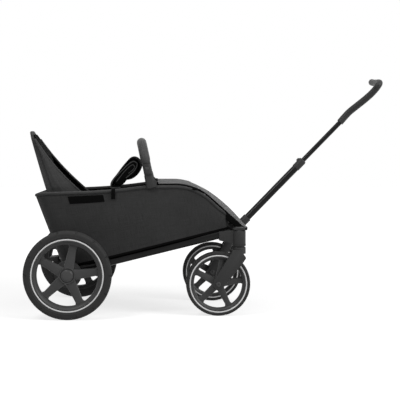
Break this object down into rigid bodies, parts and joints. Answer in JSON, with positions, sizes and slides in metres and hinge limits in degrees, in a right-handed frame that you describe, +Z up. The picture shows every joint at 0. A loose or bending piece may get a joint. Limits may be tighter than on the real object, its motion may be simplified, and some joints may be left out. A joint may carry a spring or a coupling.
{
  "type": "hand-pulled wagon",
  "caption": "Child's pull-along wagon: fabric tub with seat, hood and bumper bar on a four-wheeled frame, with swivelling front wheels and a telescopic pull handle.",
  "frame": {"origin": "middle of the bounding box's base, on the ground", "axes": "+X forward towards the pull handle, +Y to the wagon's left, +Z up"},
  "size_m": [1.2664, 0.605, 0.8335],
  "materials": {
    "tyre_rubber": "matte moulded rubber with a shallow tread",
    "reflective_band": "bright reflective ring",
    "wheel_plastic": "satin dark grey moulding",
    "hub_plastic": "smooth domed cap",
    "bare_steel": "bright drawn bar",
    "frame_paint": "black gloss powder coat",
    "matt_plastic": "fine-grained black moulding",
    "tub_fabric": "dense woven anthracite cloth over foam",
    "hood_fabric": "woven anthracite cloth",
    "lining_fabric": "soft black lining",
    "leatherette": "smooth dark grey leatherette"
  },
  "bodies": {
    "chassis": {"lower_rail_left": "frame_paint", "lower_rail_right": "frame_paint", "axle_block_left": "matt_plastic", "axle_block_right": "matt_plastic", "rear_axle": "bare_steel", "rear_axle_beam": "frame_paint", "front_crossbeam": "frame_paint", "caster_housing_left": "matt_plastic", "caster_housing_right": "matt_plastic", "tub_shell": "tub_fabric", "rim_roll": "tub_fabric", "rim_tube": "bare_steel", "floor_board": "matt_plastic", "hood": "hood_fabric", "seat_cushion": "lining_fabric", "crotch_buckle": "matt_plastic", "lap_pad": "lining_fabric", "bumper_socket_left": "matt_plastic", "bumper_socket_right": "matt_plastic", "handle_bracket": "matt_plastic", "handle_pin": "bare_steel"},
    "brake_pedal": {"brake_pedal": "matt_plastic"},
    "backrest": {"backrest_board": "matt_plastic", "backrest_pad": "lining_fabric", "backrest_wing_left": "hood_fabric", "backrest_wing_right": "hood_fabric", "shoulder_strap_left": "lining_fabric", "shoulder_strap_right": "lining_fabric"},
    "bumper": {"bumper_bar": "frame_paint", "bumper_sleeve": "leatherette", "bumper_joint_left": "matt_plastic", "bumper_joint_right": "matt_plastic"},
    "handle": {"handle_knuckle": "matt_plastic", "handle_outer_tube": "frame_paint", "handle_collar": "matt_plastic"},
    "handle_slider": {"handle_inner_tube": "frame_paint", "handle_grip": "leatherette"},
    "handle_button": {"handle_button": "matt_plastic"},
    "rear_wheel_left": {"rear_tyre_left": "tyre_rubber", "rear_reflector_left": "reflective_band", "rear_rim_left": "wheel_plastic"},
    "hub_button_left": {"hub_button_left": "hub_plastic"},
    "caster_left": {"fork_left": "matt_plastic", "front_axle_left": "bare_steel"},
    "front_wheel_left": {"front_tyre_left": "tyre_rubber", "front_reflector_left": "reflective_band", "front_rim_left": "wheel_plastic"},
    "brake_pin_left": {"brake_pin_left": "bare_steel"},
    "bumper_button_left": {"bumper_button_left": "matt_plastic"},
    "rear_wheel_right": {"rear_tyre_right": "tyre_rubber", "rear_reflector_right": "reflective_band", "rear_rim_right": "wheel_plastic"},
    "hub_button_right": {"hub_button_right": "hub_plastic"},
    "caster_right": {"fork_right": "matt_plastic", "front_axle_right": "bare_steel"},
    "front_wheel_right": {"front_tyre_right": "tyre_rubber", "front_reflector_right": "reflective_band", "front_rim_right": "wheel_plastic"},
    "brake_pin_right": {"brake_pin_right": "bare_steel"},
    "bumper_button_right": {"bumper_button_right": "matt_plastic"}
  },
  "joints": [
    {"name": "rear_wheel_left_spin", "type": "hinge", "parent": "chassis", "child": "rear_wheel_left", "pos_m": [-0.4804, 0.28, 0.15], "axis": [0, 1, 0], "continuous": true},
    {"name": "hub_button_left_press", "type": "slide", "parent": "rear_wheel_left", "child": "hub_button_left", "axis": [0, -1, 0], "range_m": [0, 0.003], "stiffness_N_per_m": 500, "springref_m": -0.001},
    {"name": "caster_left_swivel", "type": "hinge", "parent": "chassis", "child": "caster_left", "pos_m": [0.1066, 0.185, 0.2375], "axis": [0, 0, 1], "continuous": true},
    {"name": "front_wheel_left_spin", "type": "hinge", "parent": "caster_left", "child": "front_wheel_left", "pos_m": [0.0341, 0.185, 0.111], "axis": [0, 1, 0], "continuous": true},
    {"name": "brake_pin_left_slide", "type": "slide", "parent": "chassis", "child": "brake_pin_left", "axis": [0, 1, 0], "range_m": [0, 0.01]},
    {"name": "bumper_button_left_press", "type": "slide", "parent": "bumper", "child": "bumper_button_left", "axis": [0, -1, 0], "range_m": [0, 0.0024], "stiffness_N_per_m": 400, "springref_m": -0.001},
    {"name": "rear_wheel_right_spin", "type": "hinge", "parent": "chassis", "child": "rear_wheel_right", "pos_m": [-0.4804, -0.28, 0.15], "axis": [0, 1, 0], "continuous": true},
    {"name": "hub_button_right_press", "type": "slide", "parent": "rear_wheel_right", "child": "hub_button_right", "axis": [0, 1, 0], "range_m": [0, 0.003], "stiffness_N_per_m": 500, "springref_m": -0.001},
    {"name": "caster_right_swivel", "type": "hinge", "parent": "chassis", "child": "caster_right", "pos_m": [0.1066, -0.185, 0.2375], "axis": [0, 0, 1], "continuous": true},
    {"name": "front_wheel_right_spin", "type": "hinge", "parent": "caster_right", "child": "front_wheel_right", "pos_m": [0.0341, -0.185, 0.111], "axis": [0, 1, 0], "continuous": true},
    {"name": "brake_pin_right_slide", "type": "slide", "parent": "chassis", "child": "brake_pin_right", "axis": [0, -1, 0], "range_m": [0, 0.01]},
    {"name": "bumper_button_right_press", "type": "slide", "parent": "bumper", "child": "bumper_button_right", "axis": [0, 1, 0], "range_m": [0, 0.0024], "stiffness_N_per_m": 400, "springref_m": -0.001},
    {"name": "brake_pedal_press", "type": "hinge", "parent": "chassis", "child": "brake_pedal", "pos_m": [-0.5184, 0, 0.15], "axis": [0, -1, 0], "range_deg": [0, 25]},
    {"name": "backrest_fold", "type": "hinge", "parent": "chassis", "child": "backrest", "pos_m": [-0.4744, 0, 0.18604], "axis": [0, 1, 0], "range_deg": [0, 30], "deforming": ["backrest_wing_left", "backrest_wing_right"]},
    {"name": "bumper_lift", "type": "slide", "parent": "chassis", "child": "bumper", "axis": [-0.2147, 0, 0.9767], "range_m": [0, 0.05]},
    {"name": "handle_tilt", "type": "hinge", "parent": "chassis", "child": "handle", "pos_m": [0.1166, 0, 0.291], "axis": [0, -1, 0], "range_deg": [-60, 40]},
    {"name": "handle_telescope", "type": "slide", "parent": "handle", "child": "handle_slider", "axis": [0.6984, 0, 0.7157], "range_m": [-0.19, 0]},
    {"name": "handle_button_press", "type": "slide", "parent": "handle", "child": "handle_button", "axis": [0.7157, 0, -0.6984], "range_m": [0, 0.0024], "stiffness_N_per_m": 400, "springref_m": -0.001}
  ],
  "couplings": [
    {"joint": "brake_pin_left_slide", "follows": "brake_pedal_press", "m_per_rad": 0.0229},
    {"joint": "brake_pin_right_slide", "follows": "brake_pedal_press", "m_per_rad": 0.0229}
  ]
}
